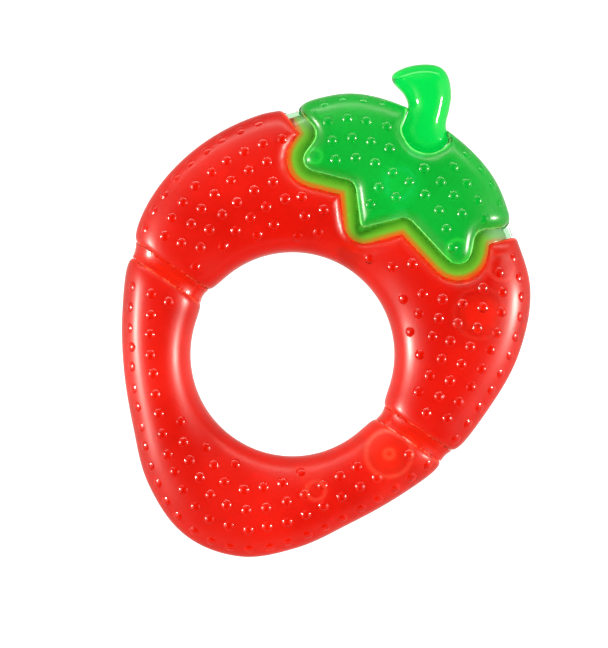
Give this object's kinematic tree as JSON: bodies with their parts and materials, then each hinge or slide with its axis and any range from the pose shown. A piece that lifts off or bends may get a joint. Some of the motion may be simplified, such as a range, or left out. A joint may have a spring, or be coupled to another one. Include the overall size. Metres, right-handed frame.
{
  "type": "teething ring",
  "caption": "Strawberry-shaped liquid-filled teething ring with a round grip hole, a nubbed front, a leaf crown and a hooked stem.",
  "frame": {"origin": "centre of the bounding box's bottom face, on the flat back that the ring lies on", "axes": "+Z out of the nubbed front, away from the flat back; +Y along the berry towards the stem; +X to the right seen from the front"},
  "size_m": [0.0824, 0.11, 0.0193],
  "materials": {
    "red_shell": "clear red-tinted soft EVA, glossy moulded skin with nubs on the front",
    "red_liquid": "clear red water",
    "green_shell": "clear green-tinted soft EVA, glossy moulded skin with nubs on the front",
    "green_liquid": "clear green water",
    "clear_web": "clear EVA weld web, glossy",
    "red_web": "red-tinted EVA weld web, glossy",
    "red_plug": "red-tinted EVA fill plug, satin",
    "green_plug": "green-tinted EVA fill plug, satin",
    "stem_green": "solid light green EVA, soft gloss"
  },
  "bodies": {
    "root": {"upper_front_shell": "red_shell", "upper_back_shell": "red_shell", "lower_front_shell": "red_shell", "lower_back_shell": "red_shell", "leaf_front_shell": "green_shell", "leaf_back_shell": "green_shell", "upper_liquid": "red_liquid", "lower_liquid": "red_liquid", "leaf_liquid": "green_liquid", "leaf_seam_web": "clear_web", "left_neck_web": "red_web", "right_neck_web": "red_web", "upper_fill_plug": "red_plug", "lower_fill_plug": "red_plug", "leaf_fill_plug": "green_plug", "stem": "stem_green"}
  },
  "joints": []
}
